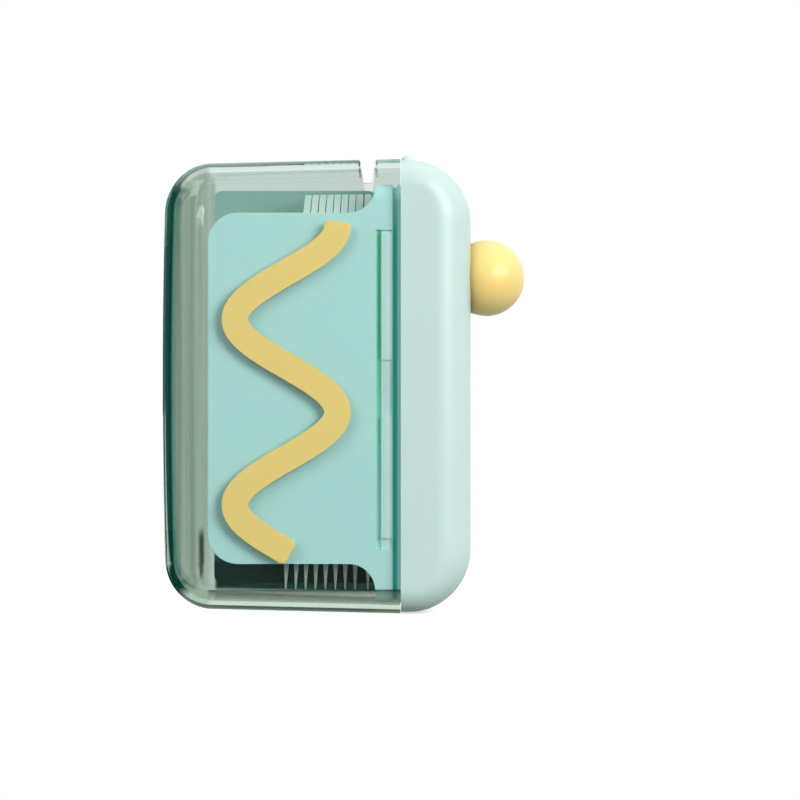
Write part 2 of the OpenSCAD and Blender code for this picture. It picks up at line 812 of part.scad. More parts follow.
clear_case();
printed_ribbon();
magazine_frame();
magazine_back();
follower();
follower_spring();
stack_pick(0);  // pick_1
stack_pick(1);  // pick_2
stack_pick(2);  // pick_3
stack_pick(3);  // pick_4
stack_pick(4);  // pick_5
stack_pick(5);  // pick_6
stack_pick(6);  // pick_7
stack_pick(7);  // pick_8
stack_floss();
exit_pick();
exit_floss();
lid_shell();
ball_button();
button_carrier();
button_spring();
eject_lever();
lever_pin();
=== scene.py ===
import math

import bmesh
import bpy
import numpy as np
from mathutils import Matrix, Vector


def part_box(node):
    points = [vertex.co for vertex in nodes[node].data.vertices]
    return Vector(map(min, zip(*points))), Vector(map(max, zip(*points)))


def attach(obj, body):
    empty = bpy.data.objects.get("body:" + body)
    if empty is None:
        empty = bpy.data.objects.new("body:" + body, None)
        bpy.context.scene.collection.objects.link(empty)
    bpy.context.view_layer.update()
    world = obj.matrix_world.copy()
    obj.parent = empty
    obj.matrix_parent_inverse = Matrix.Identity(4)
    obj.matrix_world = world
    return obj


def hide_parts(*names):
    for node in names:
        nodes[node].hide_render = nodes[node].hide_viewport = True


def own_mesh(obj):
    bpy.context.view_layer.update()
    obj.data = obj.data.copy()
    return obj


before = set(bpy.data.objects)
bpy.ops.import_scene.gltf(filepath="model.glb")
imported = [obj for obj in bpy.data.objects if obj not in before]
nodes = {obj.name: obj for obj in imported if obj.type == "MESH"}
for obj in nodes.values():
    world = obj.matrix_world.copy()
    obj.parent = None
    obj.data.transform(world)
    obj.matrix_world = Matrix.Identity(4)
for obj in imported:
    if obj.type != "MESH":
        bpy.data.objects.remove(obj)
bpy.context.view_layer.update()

MM = 0.001
scene = bpy.context.scene


# Sizes, in millimetres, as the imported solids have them

def box_mm(node):
    """A node's lowest and highest corners at rest."""
    low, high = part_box(node)
    return np.array(low) / MM, np.array(high) / MM


case_lo, case_hi = box_mm("clear_case")
lid_lo, lid_hi = box_mm("lid_shell")
ball_lo, ball_hi = box_mm("ball_button")
plate_lo = box_mm("magazine_frame")[0]
back_hi = box_mm("magazine_back")[1]
exit_lo, exit_hi = box_mm("exit_pick")

CASE_LEN, CASE_T, CASE_H = case_hi - case_lo
MID_Z = CASE_H / 2
# corner seen from the front, and the round-overs of the long sides and of the closed end
CASE_CORNER, CASE_SIDE, CASE_END = 9.0, 4.5, 8.0
CASE_WALL = 1.5
CASE_CROWN = 0.7  # bow of the closed end
CASE_DRAFT = 2.1  # how much lower the case is at its closed end than at its mouth

CHANNEL_X = (exit_lo[0] + exit_hi[0]) / 2
SLOT_W = 1.6  # at the bottom, between leaning sides
SLOT_LEAN = 7  # degrees
SLOT_DEPTH = 4.8
LIP_R = 1.2

LID_X, LID_END_X = lid_lo[0], lid_hi[0]
LID_LEN = LID_END_X - LID_X
LID_STEP = 0.3  # how far the lid stands back from the case at the top and at the bottom
LID_H = CASE_H - 2 * LID_STEP
LID_T = lid_hi[1] - lid_lo[1]
LID_CORNER, LID_SIDE, LID_END = 11.5, 4.7, 6.5
LID_WALL = 1.6
NUB_R, NUB_HALF = 1.1, 4.4  # the thumb nub is a bar with round ends

BALL_R = (ball_hi[2] - ball_lo[2]) / 2
BALL_Z = (ball_hi[2] + ball_lo[2]) / 2
BALL_GAP = 0.3
HOLE_REACH = 4.0  # of the ball's hole, to either side of the lid's end face

SPRING_WIRE = 0.6
CURL_STEP = 1.15  # between the end curls of a spring, in wires
BUTTON_CURLS, BUTTON_TRAVEL = 6, 4.5
FEED_CURLS, FEED_TRAVEL = 5, 3.7

EDGE = 0.1  # rounding of the nodes' edges, and of those that need more or less
EDGES = {"printed_ribbon": 0.04, "magazine_frame": 0.16, "magazine_back": 0.16,
         "exit_floss": 0.02, "stack_floss": 0.02, "ball_button": 0.02}

FLANGE_X, BACK_Y = back_hi[0], back_hi[1]


# Colours

def lin(r, g, b):
    """A colour as it is seen, 0 to 255, as the shader wants it."""
    return tuple(c / 12.92 if c <= 0.04045 else ((c + 0.055) / 1.055) ** 2.4
                 for c in (r / 255, g / 255, b / 255))


def shade(colour, k):
    """A colour times a factor, no channel over 1."""
    return tuple(min(1.0, c * k) for c in colour)


MINT = lin(194, 219, 213)
MAGAZINE = lin(199, 241, 241)
# painted shade in the front's groove and snap line, and a painted highlight on its rib
GROOVE_PAINTED_SHADE, SNAP_PAINTED_SHADE, RIDGE_PAINTED_HIGHLIGHT = lin(84, 198, 146), lin(28, 206, 196), lin(236, 250, 247)
# the rear plate in a greyer, darker mint as painted shade, and painted deep shade low on its inner
# face
REAR_SHADED_MINT, REAR_PAINTED_DEEP_SHADE = lin(150, 186, 178), lin(6, 52, 42)
# pick heads in a greyer green as painted shade, pick tips paler as painted light
PICK_HEAD_SHADED, PICK_TIP_PAINTED_LIGHT = lin(198, 222, 217), lin(236, 254, 246)
BALL = lin(246, 218, 140)
WHITE = lin(238, 240, 236)
INK = lin(222, 200, 118)
FLOSS = lin(248, 248, 244)
STEEL = (0.62, 0.63, 0.65)

CLEAR_VOLUME = (0.03, 0.46, 0.26)
CLEAR_DENSITY = 40.0  # per metre
CLEAR_FACE = (0.83, 0.87, 0.85)
CLEAR_SHADOW = (0.98, 0.99, 0.985)
# painted shade in the clear case: its closed end, its front rim, a streak and a deep tone low in
# the rear wall
END_PAINTED_SHADE = (0.6, 0.68, 0.615)
RIM_PAINTED_SHADE = (0.05, 0.3, 0.27)
STREAK_PAINTED_SHADE = (0.08, 0.075, 0.055)
DEEP_PAINTED_SHADE = (0.012, 0.045, 0.034)
# painted shade down the round-over of the case's foot: its darkest tone, a lighter one and the pale
# lip
FOOT_PAINTED_SHADE, FOOT_PAINTED_HALF_SHADE, FOOT_PAINTED_LIP = (0.05, 0.11, 0.08), (0.5, 0.52, 0.46), (0.88, 0.9, 0.86)

FLOOR_SHOWN = (0.8, 0.8, 0.8)
FLOOR_BOUNCE = (0.14, 0.14, 0.14)
STUDIO_WHITE = (1.0, 1.0, 1.0)
DARK_SIDE = (0.009, 0.08, 0.068)
DIM_FRONT = (0.08, 0.08, 0.08)
UNDERSIDE = (0.8, 0.92, 0.82)


# Surfaces

PLASTIC_IOR, CLEAR_IOR, INK_IOR = 1.49, 1.5, 1.45

# noise scales, per metre, and the range that most of a noise is in
CLOUDS, POLISH, GRAIN, SINKS = 90, 420, 5200, 60
CLEAR_WAVES, CLEAR_RIPPLES, CLEAR_POLISH, STREAKS = 110, 900, 260, 900
WIRE_MARKS, INK_TOOTH, INK_POLISH, FLOOR_CLOUDS = 2600, 2400, 700, 40
NOISE_LOW, NOISE_HIGH = 0.3, 0.7

# depths of the relief that the noises make
MOULDED_DEPTH, REAR_DEPTH, PICK_DEPTH = 0.012 * MM, 0.006 * MM, 0.004 * MM
WIRE_DEPTH, INK_DEPTH, FLOSS_DEPTH, CLEAR_DEPTH = 0.006 * MM, 0.008 * MM, 0.02 * MM, 0.03 * MM

# in the closed end's painted shade: its streaks' darkest and lightest factor, its fold's, and how
# far the foot's painted shade strays
STREAK_RANGE, FOLD_SHADE, FOOT_STRAY = (0.86, 1.14), 0.7, 0.1

# how strongly the groove and the snap get their painted shade, at the low and the high end of their
# fades
GROOVE_SHARE, SNAP_SHARE = (0.35, 1.0), (1.0, 0.4)


# Places where a material changes, in millimetres: an edge or two, and then how soft they are

FOOT_LOW, FOOT_TOP = 2.1, 4.7
FOOT_EDGE = FOOT_TOP, 0.1
END_EDGE = plate_lo[0] + 0.1, 0.4
FOLD_X = case_lo[0] + 3.3, case_lo[0] + 4.1, 0.3
RIM_BAND = case_lo[0] + 1.4, case_lo[0] + 2.25, 0.2
FRONT_WALL = -1.0, 1.0
REAR_WALL = 3.0, 1.0
STREAK_X = case_lo[0] + 5.4, case_lo[0] + 6.5, 0.4
STREAK_Z = 5.5, 14.5, 1.5
DEEP_Z = 2.6, 5.6, 0.4
DEEP_EDGE = FLANGE_X + 0.275, 0.4

FRONT_FACE = -8.1, 0.1
GROOVE_X = FLANGE_X + 0.275, FLANGE_X + 1.025, 0.3
RIDGE_X = FLANGE_X + 2.075, FLANGE_X + 2.675, 0.35
SNAP_X = FLANGE_X + 3.225, FLANGE_X + 4.075, 0.25
RELIEF_Z = 12.2, 71.0, 0.9
GROOVE_FADE, SNAP_FADE = (20.0, 50.0), (70.0, 79.0)
REAR_LOW = 11.0, 3.0
REAR_INSIDE = BACK_Y - 0.35, 0.15
TIP_EDGE = 15.0, 5.0

BESIDE_X, BESIDE_Y = (-34.5, 3.5), (65.0, 25.0)
FURTHER = -67.5, 22.5
BEFORE_Y = -50.0, 20.0


# Node trees

class Tree:
    """Short calls for building the nodes of a material or of the world."""

    def __init__(self, owner, output="ShaderNodeOutputMaterial"):
        self.owner = owner
        owner.use_nodes = True
        self.nt = owner.node_tree
        self.nt.nodes.clear()
        self.out = self.nt.nodes.new(output)
        self.coord = self.nt.nodes.new("ShaderNodeTexCoord")

    def node(self, kind, **values):
        n = self.nt.nodes.new(kind)
        for key, value in values.items():
            setattr(n, key, value)
        return n

    def put(self, socket, value):
        """Gives an input another node's output, a colour, a vector or a number."""
        if isinstance(value, bpy.types.NodeSocket):
            self.nt.links.new(value, socket)
        elif socket.type == "RGBA":
            socket.default_value = (*value, 1)
        else:
            socket.default_value = value

    def place(self):
        """The point's own X, Y and Z in the object, in millimetres."""
        n = self.node("ShaderNodeSeparateXYZ")
        self.put(n.inputs[0], self.coord.outputs["Object"])
        return [self.maths("MULTIPLY", n.outputs[i], 1 / MM) for i in range(3)]

    def noise(self, scale, detail, roughness=0.5, stretch=None):
        n = self.node("ShaderNodeTexNoise")
        self.put(n.inputs["Scale"], scale)
        self.put(n.inputs["Detail"], detail)
        self.put(n.inputs["Roughness"], roughness)
        source = self.coord.outputs["Object"]
        if stretch:
            m = self.node("ShaderNodeMapping")
            self.put(m.inputs["Scale"], stretch)
            self.put(m.inputs["Vector"], source)
            source = m.outputs["Vector"]
        self.put(n.inputs["Vector"], source)
        return n.outputs["Fac"]

    def maths(self, op, *values):
        """Joins numbers or outputs with one operation, from the left."""
        result = values[0]
        for value in values[1:]:
            n = self.node("ShaderNodeMath", operation=op)
            self.put(n.inputs[0], result)
            self.put(n.inputs[1], value)
            result = n.outputs[0]
        return result

    def span(self, fac, low, high, from_low=NOISE_LOW, from_high=NOISE_HIGH):
        """Brings a value from one range, a noise's own at first, to another."""
        n = self.node("ShaderNodeMapRange")
        self.put(n.inputs["Value"], fac)
        for key, value in (("From Min", from_low), ("From Max", from_high), ("To Min", low),
                           ("To Max", high)):
            self.put(n.inputs[key], value)
        return n.outputs["Result"]

    def above(self, value, edge, soft):
        """0 below the edge and 1 above it, eased over a softness to either side."""
        n = self.node("ShaderNodeMapRange", interpolation_type="SMOOTHSTEP")
        self.put(n.inputs["Value"], value)
        self.put(n.inputs["From Min"], edge - soft)
        self.put(n.inputs["From Max"], edge + soft)
        return n.outputs["Result"]

    def below(self, value, edge, soft):
        """1 below the edge and 0 above it."""
        return self.above(value, edge, -soft)

    def between(self, value, low, high, soft):
        """1 between two edges and 0 outside them."""
        return self.maths("MULTIPLY", self.above(value, low, soft), self.below(value, high, soft))

    def ramp(self, fac, stops):
        """A colour ramp: its stops are (position, colour)."""
        n = self.node("ShaderNodeValToRGB")
        ramp = n.color_ramp
        while len(ramp.elements) < len(stops):
            ramp.elements.new(0.5)
        for e, (at, colour) in zip(ramp.elements, stops):
            e.position = at
            e.color = (*colour, 1)
        self.put(n.inputs["Fac"], fac)
        return n.outputs["Color"]

    def mottled(self, fac, colour, darker, lighter, low=NOISE_LOW, high=NOISE_HIGH):
        """The colour times two factors, at a noise's low and high values."""
        return self.ramp(fac, [(low, shade(colour, darker)), (high, shade(colour, lighter))])

    def clouded(self, colour, spread):
        """The colour with faint clouds."""
        return self.mottled(self.noise(CLOUDS, 4), colour, 1 - spread, 1 + spread)

    def blend(self, share, a, b):
        """Mixes two colours: a where the share is 0, b where it is 1."""
        n = self.node("ShaderNodeMix", data_type="RGBA")
        for socket, value in ((n.inputs[0], share), (n.inputs[6], a), (n.inputs[7], b)):
            self.put(socket, value)
        return n.outputs[2]

    def scaled(self, colour, factor):
        """A plain colour times a factor that varies over the surface."""
        n = self.node("ShaderNodeVectorMath", operation="SCALE")
        self.put(n.inputs[0], colour)
        self.put(n.inputs["Scale"], factor)
        return n.outputs["Vector"]

    def bump(self, height, distance):
        n = self.node("ShaderNodeBump")
        self.put(n.inputs["Distance"], distance)
        self.put(n.inputs["Height"], height)
        return n.outputs["Normal"]

    def grain(self, stretch=None):
        return self.noise(GRAIN, 2, 0.6, stretch)

    def moulded_height(self):
        """Fine grain over shallow sink marks."""
        return self.maths("ADD", self.maths("MULTIPLY", self.grain(), 0.25),
                          self.maths("MULTIPLY", self.noise(SINKS, 2), 6.0))

    def principled(self, colour, roughness, normal, **constants):
        p = self.node("ShaderNodeBsdfPrincipled")
        self.put(p.inputs["Base Color"], colour)
        self.put(p.inputs["Roughness"], roughness)
        self.put(p.inputs["Normal"], normal)
        for key, value in constants.items():
            self.put(p.inputs[key.replace("_", " ")], value)
        return p

    def shader(self, kind, colour=None):
        n = self.node(kind)
        if colour is not None:
            self.put(n.inputs["Color"], colour)
        return n

    def mix(self, kind, first, second, share=None):
        """Mixes two shaders by a share, or adds them."""
        n = self.node(kind)
        if share is not None:
            self.put(n.inputs[0], share)
        self.put(n.inputs[-2], first.outputs[0])
        self.put(n.inputs[-1], second.outputs[0])
        return n

    def done(self, shader):
        self.put(self.out.inputs["Surface"], shader.outputs[0])
        return self.owner


def new_tree(name):
    return Tree(bpy.data.materials.new(name))


# Materials of the object

def moulded(name, colour, spread, rough, subsurface, scatter=(1.0, 0.6, 0.5), depth=0.0012):
    """Moulded plastic: faint clouds in the colour, uneven polish and a fine grain."""
    t = new_tree(name)
    base = t.clouded(colour, spread)
    polish = t.span(t.noise(POLISH, 3), *rough)
    return t.done(t.principled(base, polish, t.bump(t.moulded_height(), MOULDED_DEPTH),
                               IOR=PLASTIC_IOR, Subsurface_Weight=subsurface,
                               Subsurface_Radius=scatter, Subsurface_Scale=depth))


def foot_painted_shade(t, z):
    """The case's foot: painted shade at its top, lighter painted shade and a pale lip below, in
    level streaks.
    """
    streaks = t.span(t.noise(STREAKS, 3, 0.6, stretch=(0.012, 1, 1)), -FOOT_STRAY, FOOT_STRAY)
    drop = t.span(z, 1.0, 0.0, FOOT_LOW, FOOT_TOP)
    return t.ramp(t.maths("ADD", drop, streaks),
                  [(0.0, FOOT_PAINTED_SHADE), (0.45, FOOT_PAINTED_HALF_SHADE), (1.0, FOOT_PAINTED_LIP)])


def end_painted_shade(t, x):
    """The case's closed end: painted shade in upright streaks, darker along one fold."""
    streaks = t.span(t.noise(STREAKS, 3, 0.6, stretch=(1, 0.12, 0.012)), *STREAK_RANGE)
    fold = t.span(t.between(x, *FOLD_X), 1.0, FOLD_SHADE, 0.0, 1.0)
    return t.scaled(END_PAINTED_SHADE, t.maths("MULTIPLY", streaks, fold))


def end_rim(t, x, y, z):
    """1 in the front rim of the closed end, which follows the bow of the end."""
    height = t.span(z, -1.0, 1.0, 0.0, CASE_H)
    bow = t.maths("MULTIPLY", t.maths("POWER", height, 2.0), CASE_CROWN)
    return t.maths("MULTIPLY", t.between(t.maths("SUBTRACT", x, bow), *RIM_BAND),
                   t.below(y, *FRONT_WALL))


def clear_tint_and_painted_shade(t):
    """Clear faces, with painted shade where the case is rounded over, and painted deep shade and a
    painted shadow streak low in its rear wall.
    """
    x, y, z = t.place()
    rear = t.above(y, *REAR_WALL)
    # painted shade down the foot's round-over
    tint = t.blend(t.below(z, *FOOT_EDGE), CLEAR_FACE, foot_painted_shade(t, z))
    # painted deep shade low in the rear wall
    deep = t.maths("MULTIPLY", rear, t.between(z, *DEEP_Z), t.below(x, *DEEP_EDGE))
    tint = t.blend(deep, tint, DEEP_PAINTED_SHADE)
    # painted shade in the closed end
    tint = t.blend(t.below(x, *END_EDGE), tint, end_painted_shade(t, x))
    # a painted dark rim at the closed end's front
    tint = t.blend(end_rim(t, x, y, z), tint, RIM_PAINTED_SHADE)
    # a painted shadow streak in the rear wall
    streak = t.maths("MULTIPLY", t.between(x, *STREAK_X), t.between(z, *STREAK_Z), rear)
    return t.blend(streak, tint, STREAK_PAINTED_SHADE)


def clear_plastic(name):
    """Smoky clear plastic: coloured by how much of it the light crosses, with moulding waves and
    painted shade in its round-overs, foot and rear wall.

    Shadow and diffuse rays go straight through it, and so does light that the wall has mirrored
    twice, because the wall would trap it.
    """
    t = new_tree(name)
    height = t.maths("ADD", t.noise(CLEAR_WAVES, 2, 0.4, stretch=(1, 1, 0.35)),
                     t.maths("MULTIPLY", t.noise(CLEAR_RIPPLES, 2), 0.05))
    polish = t.span(t.noise(CLEAR_POLISH, 3), 0.015, 0.05, 0.35, 0.7)
    glass = t.principled(clear_tint_and_painted_shade(t), polish, t.bump(height, CLEAR_DEPTH), IOR=CLEAR_IOR,
                         Transmission_Weight=1.0)
    path = t.node("ShaderNodeLightPath").outputs
    straight = t.maths("MAXIMUM", path["Is Shadow Ray"], path["Is Diffuse Ray"],
                       t.maths("GREATER_THAN", path["Glossy Depth"], 1.5))
    inside = t.shader("ShaderNodeVolumeAbsorption", CLEAR_VOLUME)
    t.put(inside.inputs["Density"], CLEAR_DENSITY)
    t.put(t.out.inputs["Volume"], inside.outputs[0])
    through = t.shader("ShaderNodeBsdfTransparent", CLEAR_SHADOW)
    return t.done(t.mix("ShaderNodeMixShader", glass, through, straight))


def magazine_plastic(name):
    """The magazine's front: painted deep green shade in its two grooves, and a painted highlight on
    the rib between.
    """
    t = new_tree(name)
    x, y, z = t.place()
    base = t.clouded(MAGAZINE, 0.015)
    front = t.below(y, *FRONT_FACE)
    tall = t.between(z, *RELIEF_Z)
    groove = t.maths("MULTIPLY", t.between(x, *GROOVE_X), tall,
                     t.span(z, *GROOVE_SHARE, *GROOVE_FADE))
    ridge = t.maths("MULTIPLY", t.between(x, *RIDGE_X), tall)
    snap = t.maths("MULTIPLY", t.between(x, *SNAP_X), t.span(z, *SNAP_SHARE, *SNAP_FADE))
    # a painted highlight on the rib, painted shade in the groove and the snap line
    for share, colour in ((ridge, RIDGE_PAINTED_HIGHLIGHT), (groove, GROOVE_PAINTED_SHADE), (snap, SNAP_PAINTED_SHADE)):
        base = t.blend(t.maths("MULTIPLY", share, front), base, colour)
    polish = t.span(t.noise(POLISH, 3), 0.4, 0.5)
    return t.done(t.principled(base, polish, t.bump(t.moulded_height(), MOULDED_DEPTH),
                               IOR=PLASTIC_IOR))


def rear_plastic(name):
    """The magazine's rear plate, in a greyer, darker mint than its front as painted shade, its
    inner face in painted deep shade low down.
    """
    t = new_tree(name)
    x, y, z = t.place()
    # painted deep shade low on the inner face
    low = t.maths("MULTIPLY", t.below(z, *REAR_LOW), t.below(y, *REAR_INSIDE))
    base = t.blend(low, t.clouded(REAR_SHADED_MINT, 0.03), REAR_PAINTED_DEEP_SHADE)
    polish = t.span(t.noise(POLISH, 3), 0.4, 0.5)
    return t.done(t.principled(base, polish, t.bump(t.grain(), REAR_DEPTH), IOR=PLASTIC_IOR))


def pick_plastic(name):
    """The picks: the heads in a greyer green as painted shade, the tips painted pale as painted
    light in the dark foot.
    """
    t = new_tree(name)
    x, y, z = t.place()
    # painted light: the tips paler than the heads
    base = t.blend(t.below(z, *TIP_EDGE), t.clouded(PICK_HEAD_SHADED, 0.015), PICK_TIP_PAINTED_LIGHT)
    polish = t.span(t.noise(POLISH, 3), 0.3, 0.42)
    return t.done(t.principled(base, polish, t.bump(t.grain(), PICK_DEPTH), IOR=PLASTIC_IOR,
                               Subsurface_Weight=0.35, Subsurface_Scale=0.0012))


def steel(name):
    """Drawn wire: fine marks in the colour and in the polish."""
    t = new_tree(name)
    drawn = t.noise(WIRE_MARKS, 3, 0.6)
    base = t.mottled(drawn, STEEL, 0.86, 1.05, 0.25, 0.75)
    polish = t.span(drawn, 0.22, 0.36)
    return t.done(t.principled(base, polish, t.bump(drawn, WIRE_DEPTH), Metallic=1.0))


def printed(name):
    """A screen-printed layer: opaque ink with a fine tooth and a little less gloss in places."""
    t = new_tree(name)
    speck = t.noise(INK_TOOTH, 4, 0.7)
    base = t.mottled(speck, INK, 0.965, 1.03, high=0.72)
    polish = t.span(t.noise(INK_POLISH, 3), 0.42, 0.56)
    return t.done(t.principled(base, polish, t.bump(speck, INK_DEPTH), IOR=INK_IOR))


def strand(name):
    """Floss: a soft twisted strand."""
    t = new_tree(name)
    twist = t.grain(stretch=(1, 1, 0.3))
    base = t.mottled(twist, FLOSS, 0.88, 1.0)
    return t.done(t.principled(base, 0.5, t.bump(twist, FLOSS_DEPTH), Sheen_Weight=0.2))


mats = {
    "clear": clear_plastic("clear_smoke"),
    "lid": moulded("mint_lid_plastic", MINT, spread=0.012, rough=(0.3, 0.4), subsurface=0.15),
    "inner": magazine_plastic("mint_magazine_plastic"),
    "rear": rear_plastic("grey_mint_painted_shade_plastic"),
    "ball": moulded("yellow_ball_plastic", BALL, spread=0.015, rough=(0.3, 0.38), subsurface=0.8,
                    scatter=(1.0, 0.8, 0.35), depth=0.004),
    "pick": pick_plastic("pick_plastic"),
    "white": moulded("white_plastic", WHITE, spread=0.02, rough=(0.4, 0.5), subsurface=0.1),
    "ink": printed("yellow_ink"),
    "floss": strand("floss_strand"),
    "steel": steel("spring_steel"),
}


def dress(obj, material):
    """Gives every face of an object one material."""
    obj.data.materials.clear()
    obj.data.materials.append(material)
    for face in obj.data.polygons:
        face.material_index = 0


# Rigid CAD nodes keep their solids and get softened edges

def soften(obj, width, angle=35, segments=2):
    """Welds the node's faces, rounds its sharp edges a little and shades it smooth."""
    weld = obj.modifiers.new("weld", "WELD")
    weld.merge_threshold = 0.002 * MM
    bevel = obj.modifiers.new("round", "BEVEL")
    bevel.width = width
    bevel.segments = segments
    bevel.limit_method = "ANGLE"
    bevel.angle_limit = math.radians(angle)
    bevel.use_clamp_overlap = True
    bevel.harden_normals = False
    for face in obj.data.polygons:
        face.use_smooth = True
    normals = obj.modifiers.new("normals", "WEIGHTED_NORMAL")
    normals.keep_sharp = False
    normals.weight = 100


looks = {
    "printed_ribbon": "ink", "magazine_frame": "inner", "magazine_back": "rear",
    "follower": "white", "stack_floss": "floss", "exit_pick": "pick", "exit_floss": "floss",
    "ball_button": "ball", "button_carrier": "white", "eject_lever": "white", "lever_pin": "steel",
}
looks.update((f"pick_{k}", "pick") for k in range(1, 9))
for name, look in looks.items():
    dress(nodes[name], mats[look])
    soften(nodes[name], EDGES.get(name, EDGE) * MM)


# Meshes

def add_object(name, mesh):
    obj = bpy.data.objects.new(name, mesh)
    scene.collection.objects.link(obj)
    return obj


def closed_object(name, bm):
    """Turns a closed body's faces outward and makes it an object of the scene."""
    bmesh.ops.recalc_face_normals(bm, faces=bm.faces[:])
    mesh = bpy.data.meshes.new(name)
    bm.to_mesh(mesh)
    bm.free()
    return add_object(name, mesh)


def arc(start, end, steps):
    """Angles in radians from start to end, both in degrees."""
    return [math.radians(start + (end - start) * k / steps) for k in range(steps + 1)]


def apply_modifiers(obj):
    """Makes an object's modifiers part of its mesh."""
    bpy.context.view_layer.update()
    dg = bpy.context.evaluated_depsgraph_get()
    mesh = bpy.data.meshes.new_from_object(obj.evaluated_get(dg))
    old = obj.data
    obj.modifiers.clear()
    obj.data = mesh
    mesh.name = obj.name
    bpy.data.meshes.remove(old)


def boolean(obj, cutter, operation):
    """Cuts a body out of an object, or joins it on, and removes the body."""
    m = obj.modifiers.new("cut", "BOOLEAN")
    m.operation = operation
    m.solver = "EXACT"
    m.object = cutter
    apply_modifiers(obj)
    bpy.data.objects.remove(cutter)


def prism(name, outline, y0, y1):
    """A bar along Y whose section in X and Z is the outline."""
    bm = bmesh.new()
    a, b = [[bm.verts.new((x * MM, y * MM, z * MM)) for x, z in outline] for y in (y0, y1)]
    bm.faces.new(a)
    bm.faces.new(b[::-1])
    n = len(outline)
    for k in range(n):
        bm.faces.new([a[k], b[k], b[(k + 1) % n], a[(k + 1) % n]])
    return closed_object(name, bm)


def turned(name, profile, start, direction, steps=96):
    """A body of revolution: profile points are (along, radius) from start along a unit axis."""
    axis = Vector(direction)
    side = axis.orthogonal().normalized()
    up = axis.cross(side)
    angles = [2 * math.pi * k / steps for k in range(steps)]
    bm = bmesh.new()
    rings = []
    for along, radius in profile:
        middle = Vector(start) + axis * along
        if radius < 1e-6:
            rings.append([bm.verts.new(middle * MM)])
            continue
        rings.append([bm.verts.new((middle + (side * math.cos(a) + up * math.sin(a)) * radius) * MM)
                      for a in angles])
    for a, b in zip(rings, rings[1:]):
        for k in range(steps):
            loop = [a[k % len(a)], a[(k + 1) % len(a)], b[(k + 1) % len(b)], b[k % len(b)]]
            kept = list(dict.fromkeys(loop))
            if len(kept) > 2:
                bm.faces.new(kept)
    return closed_object(name, bm)


def polish_normals(obj, angle=38, flat=0.99995):
    """Smooth normals that stay exactly square to the large flat windows beside the round-overs."""
    mesh = obj.data
    for face in mesh.polygons:
        face.use_smooth = True
    count = len(mesh.polygons)
    normal = np.empty(count * 3)
    area = np.empty(count)
    mesh.polygons.foreach_get("normal", normal)
    mesh.polygons.foreach_get("area", area)
    normal = normal.reshape(-1, 3)
    ends = np.empty(len(mesh.loops), int)
    mesh.loops.foreach_get("vertex_index", ends)
    owner = np.repeat(np.arange(count), [len(f.loop_indices) for f in mesh.polygons])
    window = np.abs(normal[:, 1]) > flat
    order = np.argsort(ends, kind="stable")
    starts = np.searchsorted(ends[order], np.arange(len(mesh.vertices) + 1))
    limit = math.cos(math.radians(angle))
    out = normal[owner].copy()
    for v in range(len(mesh.vertices)):
        loops = order[starts[v]:starts[v + 1]]
        faces = owner[loops]
        near = normal[faces] @ normal[faces].T > limit
        for i, loop in enumerate(loops):
            group = faces[near[i]]
            level = group[window[group]]
            if len(level):
                out[loop] = normal[level[0]]
            else:
                total = (normal[group] * area[group, None]).sum(0)
                out[loop] = total / np.linalg.norm(total)
    mesh.normals_split_custom_set(out)


# Shells of the case and the lid, finer than the solids

def stations(length, half_h, r, corner=28, ends=24, side=6):
    """Points round a shell's outline, seen from the front, from mouth to mouth.

    Each is x, z, the outward way there in x and z, and the closed end's share of the round-over.
    """
    long_side = [length + (r - length) * k / side for k in range(side)]
    corner_turn = arc(90, 0, corner)
    upper = [(x, half_h, 0, 1, 0) for x in long_side]
    upper += [(r - r * math.cos(a), half_h - r + r * math.sin(a), -math.cos(a), math.sin(a),
               math.cos(a) ** 2) for a in corner_turn]
    end = [(0, (half_h - r) * (1 - 2 * k / ends), -1, 0, 1) for k in range(1, ends)]
    lower = [(x, -z, nx, -nz, share) for x, z, nx, nz, share in reversed(upper)]
    return upper + end + lower


def shell_rings(length, height, thick, r, side_r, end_r, crown, draft, rounds=14):
    """A skin's cross-sections at its stations, each rounded over from the front to the rear."""
    half_h, half_t = height / 2, thick / 2
    quarter = arc(0, 90, rounds)
    rings = []
    for x, z, nx, nz, share in stations(length, half_h, r):
        rr = side_r + (end_r - side_r) * share
        ring = []
        for side, angles in ((1, quarter[::-1]), (-1, quarter)):
            for a in angles:
                px = x - nx * rr * (1 - math.cos(a))
                py = side * (half_t - rr * (1 - math.sin(a)))
                pz = z - nz * rr * (1 - math.cos(a))
                u, w = pz / half_h, max(0.0, 1 - px / (length / 2))
                qx = px + crown * u * u * w
                qz = pz * (1 - draft / (2 * half_h) * (1 - px / length))
                ring.append((qx, py, qz))
        rings.append(ring)
    return rings


def add_surface(bm, rings, place, inward):
    """Adds one side of a shell, its skin and its two flat windows, and returns its mouth."""
    grid = [[bm.verts.new([c * MM for c in place(p)]) for p in ring] for ring in rings]
    faces = []
    for a, b in zip(grid, grid[1:]):
        for j in range(len(a) - 1):
            faces.append([a[j], b[j], b[j + 1], a[j + 1]])
    faces.append([ring[0] for ring in grid])
    faces.append([ring[-1] for ring in reversed(grid)])
    for loop in faces:
        bm.faces.new(loop[::-1] if inward else loop)
    return grid[0] + grid[-1][::-1]


def build_shell(name, place, wall, length, height, thick, corner, side, end, crown=0, draft=0):
    """A shell of one wall: place(inset) puts a skin that lies that far inside the outer one."""
    bm = bmesh.new()
    mouths = []
    for inset in (0, wall):
        rings = shell_rings(length - inset, height - 2 * inset, thick - 2 * inset, corner - inset,
                            side - inset, end - inset, crown, draft)
        mouths.append(add_surface(bm, rings, place(inset), inset > 0))
    outer, inner = mouths
    n = len(outer)
    for k in range(n):
        bm.faces.new([outer[k], outer[(k + 1) % n], inner[(k + 1) % n], inner[k]])
    return closed_object(name, bm)


